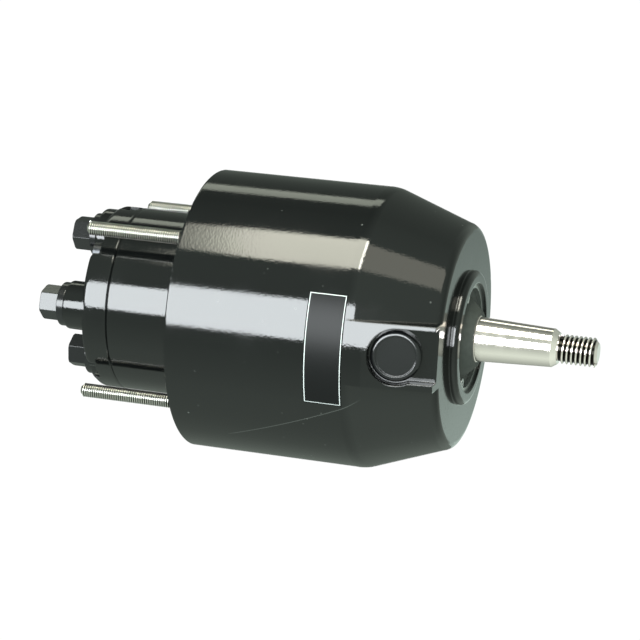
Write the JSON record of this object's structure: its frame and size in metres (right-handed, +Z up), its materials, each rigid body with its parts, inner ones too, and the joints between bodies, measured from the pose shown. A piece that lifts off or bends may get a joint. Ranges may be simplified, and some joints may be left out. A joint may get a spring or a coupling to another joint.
{
  "type": "hydraulic helm pump",
  "caption": "Black cast steering pump for a boat: round body with a coned front, a taper shaft for the wheel, studs behind it, a filler plug on top and plugged ports at the rear.",
  "frame": {"origin": "centre of the rear mounting shoulder, on the shaft line", "axes": "-Y along the shaft towards the steering wheel, +Z up through the filler plug"},
  "size_m": [0.121, 0.2374, 0.121],
  "materials": {
    "black_casting": "gloss black paint",
    "black_plug": "gloss black",
    "filler_black": "gloss black",
    "rubber": "matt",
    "zinc": "yellow zinc",
    "screw_steel": "black oxide",
    "ring_steel": "phosphated",
    "polished_steel": "polished stainless",
    "bearing_steel": "ground",
    "spring_steel": "drawn wire",
    "bronze": "machined",
    "iron": "machined",
    "bare_aluminium": "machined"
  },
  "bodies": {
    "helm_body": {"housing": "black_casting", "pump_body": "black_casting", "end_cover": "black_casting", "flange_seal": "rubber", "cover_seals": "rubber", "mounting_studs": "zinc", "flange_screws": "screw_steel", "cover_screws": "screw_steel", "port_plug_left": "black_plug", "port_plug_right": "black_plug", "balance_plug": "black_plug", "port_seals": "rubber", "bearing_outer_race": "bearing_steel", "shaft_seal": "rubber", "retaining_ring": "ring_steel", "dust_cap": "rubber", "swash_plate": "bare_aluminium", "swash_screws": "screw_steel", "thrust_fixed_race": "bearing_steel", "valve_plate": "bronze", "valve_plate_pin": "ring_steel", "rear_bush": "bronze", "lock_valve_seats": "bronze", "lock_valve_plugs": "screw_steel", "check_spring_left": "spring_steel", "check_spring_right": "spring_steel"},
    "drive": {"steering_shaft": "polished_steel", "wheel_key": "ring_steel", "bearing_inner_race": "bearing_steel", "rotor": "iron", "rotor_key": "ring_steel", "pistons": "bearing_steel", "piston_springs": "spring_steel", "shaft_circlip": "ring_steel"},
    "bearing_ball_set": {"bearing_balls": "bearing_steel", "bearing_cage": "bronze"},
    "thrust_race": {"thrust_moving_race": "bearing_steel"},
    "thrust_ball_set": {"thrust_balls": "bearing_steel", "thrust_cage": "bronze"},
    "filler": {"filler_plug": "filler_black", "filler_seal": "rubber"},
    "spool": {"lock_spool": "bearing_steel"},
    "check_left": {"check_poppet_left": "bearing_steel"},
    "check_right": {"check_poppet_right": "bearing_steel"}
  },
  "joints": [
    {"name": "shaft_spin", "type": "hinge", "parent": "helm_body", "child": "drive", "pos_m": [0, 0, 0], "axis": [0, -1, 0], "continuous": true},
    {"name": "bearing_ball_spin", "type": "hinge", "parent": "helm_body", "child": "bearing_ball_set", "pos_m": [0, -0.096, 0], "axis": [0, -1, 0], "continuous": true},
    {"name": "thrust_race_spin", "type": "hinge", "parent": "helm_body", "child": "thrust_race", "pos_m": [0, -0.06155, 0], "axis": [0, -0.9781, -0.2079], "continuous": true},
    {"name": "thrust_ball_spin", "type": "hinge", "parent": "helm_body", "child": "thrust_ball_set", "pos_m": [0, -0.06155, 0], "axis": [0, -0.9781, -0.2079], "continuous": true},
    {"name": "filler_lift", "type": "slide", "parent": "helm_body", "child": "filler", "axis": [0, -0.1736, 0.9848], "range_m": [0, 0.03]},
    {"name": "spool_slide", "type": "slide", "parent": "helm_body", "child": "spool", "axis": [1, 0, 0], "range_m": [-0.0005, 0.0005]},
    {"name": "check_left_slide", "type": "slide", "parent": "helm_body", "child": "check_left", "axis": [-1, 0, 0], "range_m": [0, 0.0015], "stiffness_N_per_m": 300, "springref_m": -0.001, "deforming": ["check_spring_left"]},
    {"name": "check_right_slide", "type": "slide", "parent": "helm_body", "child": "check_right", "axis": [1, 0, 0], "range_m": [0, 0.0015], "stiffness_N_per_m": 300, "springref_m": -0.001, "deforming": ["check_spring_right"]}
  ],
  "couplings": [
    {"joint": "bearing_ball_spin", "follows": "shaft_spin", "ratio": 0.382},
    {"joint": "thrust_race_spin", "follows": "shaft_spin", "ratio": 1},
    {"joint": "thrust_ball_spin", "follows": "shaft_spin", "ratio": 0.5}
  ]
}
